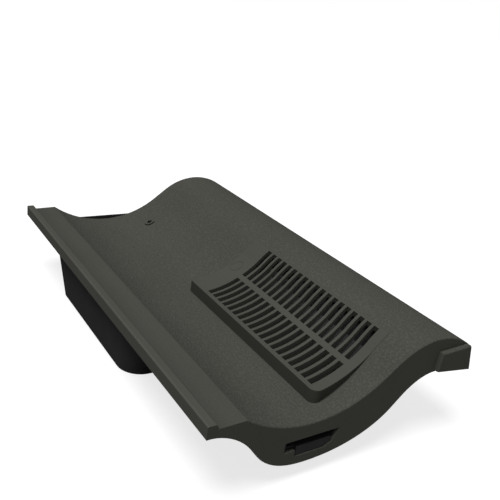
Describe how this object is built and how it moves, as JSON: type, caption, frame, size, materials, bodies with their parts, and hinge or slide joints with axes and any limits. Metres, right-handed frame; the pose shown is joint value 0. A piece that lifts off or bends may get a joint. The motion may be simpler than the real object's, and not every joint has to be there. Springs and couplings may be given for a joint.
{
  "type": "pantile",
  "caption": "S-section roof ventilation pantile: side rail, raised skewed grille, nose apron with a drain slot, and a black duct tray fixed beneath.",
  "frame": {"origin": "middle of the part's bounding box at the level of the duct's open mouth", "axes": "+Y up the roof slope from nose to head, +X across the tile from rail to roll, +Z out of the roof"},
  "size_m": [0.231, 0.3936, 0.0869],
  "materials": {
    "tile_plastic": "matte, fine grained, olive grey",
    "duct_plastic": "matte black"
  },
  "bodies": {
    "root": {"tile_cover": "tile_plastic", "duct_tray": "duct_plastic"}
  },
  "joints": []
}
